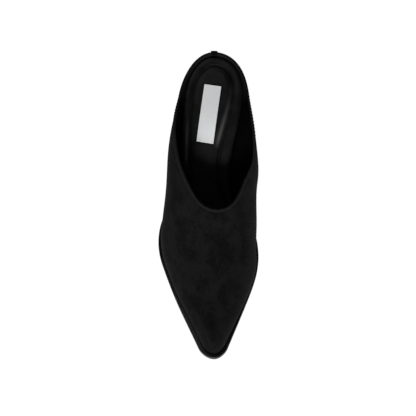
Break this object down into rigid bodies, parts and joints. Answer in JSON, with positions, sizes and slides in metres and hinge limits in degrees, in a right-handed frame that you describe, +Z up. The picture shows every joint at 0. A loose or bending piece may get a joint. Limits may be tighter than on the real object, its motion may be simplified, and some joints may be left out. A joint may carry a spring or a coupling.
{
  "type": "mule shoe",
  "caption": "Pointed suede mule for the right foot: open at the collar with a low back, padded insole, thin sole with a ledge round the toe, and a covered block heel.",
  "frame": {"origin": "on the floor, under the middle of the shoe's box", "axes": "+Y from the toe to the heel, +Z up, +X to the inner side of the foot"},
  "size_m": [0.0868, 0.2578, 0.0813],
  "materials": {
    "suede": "napped black suede",
    "sock_leather": "smooth black leather",
    "silver_foil": "matt silver grey",
    "edge_leather": "polished black edge",
    "sole_leather": "dark grey smooth sole",
    "lift_rubber": "matt black rubber"
  },
  "bodies": {
    "root": {"upper": "suede", "back_strip": "suede", "insole": "sock_leather", "label": "silver_foil", "midsole": "edge_leather", "outsole": "sole_leather", "heel_block": "suede", "top_lift": "lift_rubber"}
  },
  "joints": []
}
